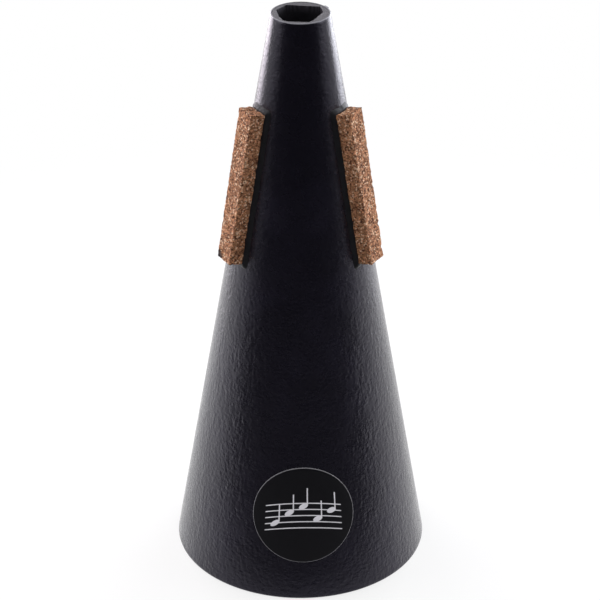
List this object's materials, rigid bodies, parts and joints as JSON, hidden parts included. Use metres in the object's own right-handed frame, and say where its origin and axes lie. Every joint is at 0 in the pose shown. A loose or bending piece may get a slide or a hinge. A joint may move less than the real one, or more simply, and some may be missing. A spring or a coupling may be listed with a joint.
{
  "type": "cornet straight mute",
  "caption": "Straight mute for a cornet: black lacquered card cone, open at the narrow end, closed by a disc at the wide end, gripped in the bell by cork strips.",
  "frame": {"origin": "centre of the wide end, on the plane that the mute stands on", "axes": "+Z from the wide end to the mouth, front towards -Y where the label is, +X to the right seen from the front"},
  "size_m": [0.0734, 0.0734, 0.165],
  "materials": {
    "rolled_card": "rolled grey card, stained black at the mouth",
    "black_lacquer": "black lacquer over finely wrinkled paper",
    "fibre_board": "fibre board painted black",
    "amber_glue": "dried amber glue",
    "agglomerated_cork": "fine-grained agglomerated cork",
    "black_glue": "black glue, semi-gloss",
    "label_film": "satin black film"
  },
  "bodies": {
    "root": {"inner_cone": "rolled_card", "outer_sleeve": "black_lacquer", "base_disc": "fibre_board", "base_glue_bead": "amber_glue", "cork_strip_left": "agglomerated_cork", "cork_strip_right": "agglomerated_cork", "cork_strip_rear": "agglomerated_cork", "glue_bed_left": "black_glue", "glue_bed_right": "black_glue", "glue_bed_rear": "black_glue", "round_label": "label_film"}
  },
  "joints": []
}
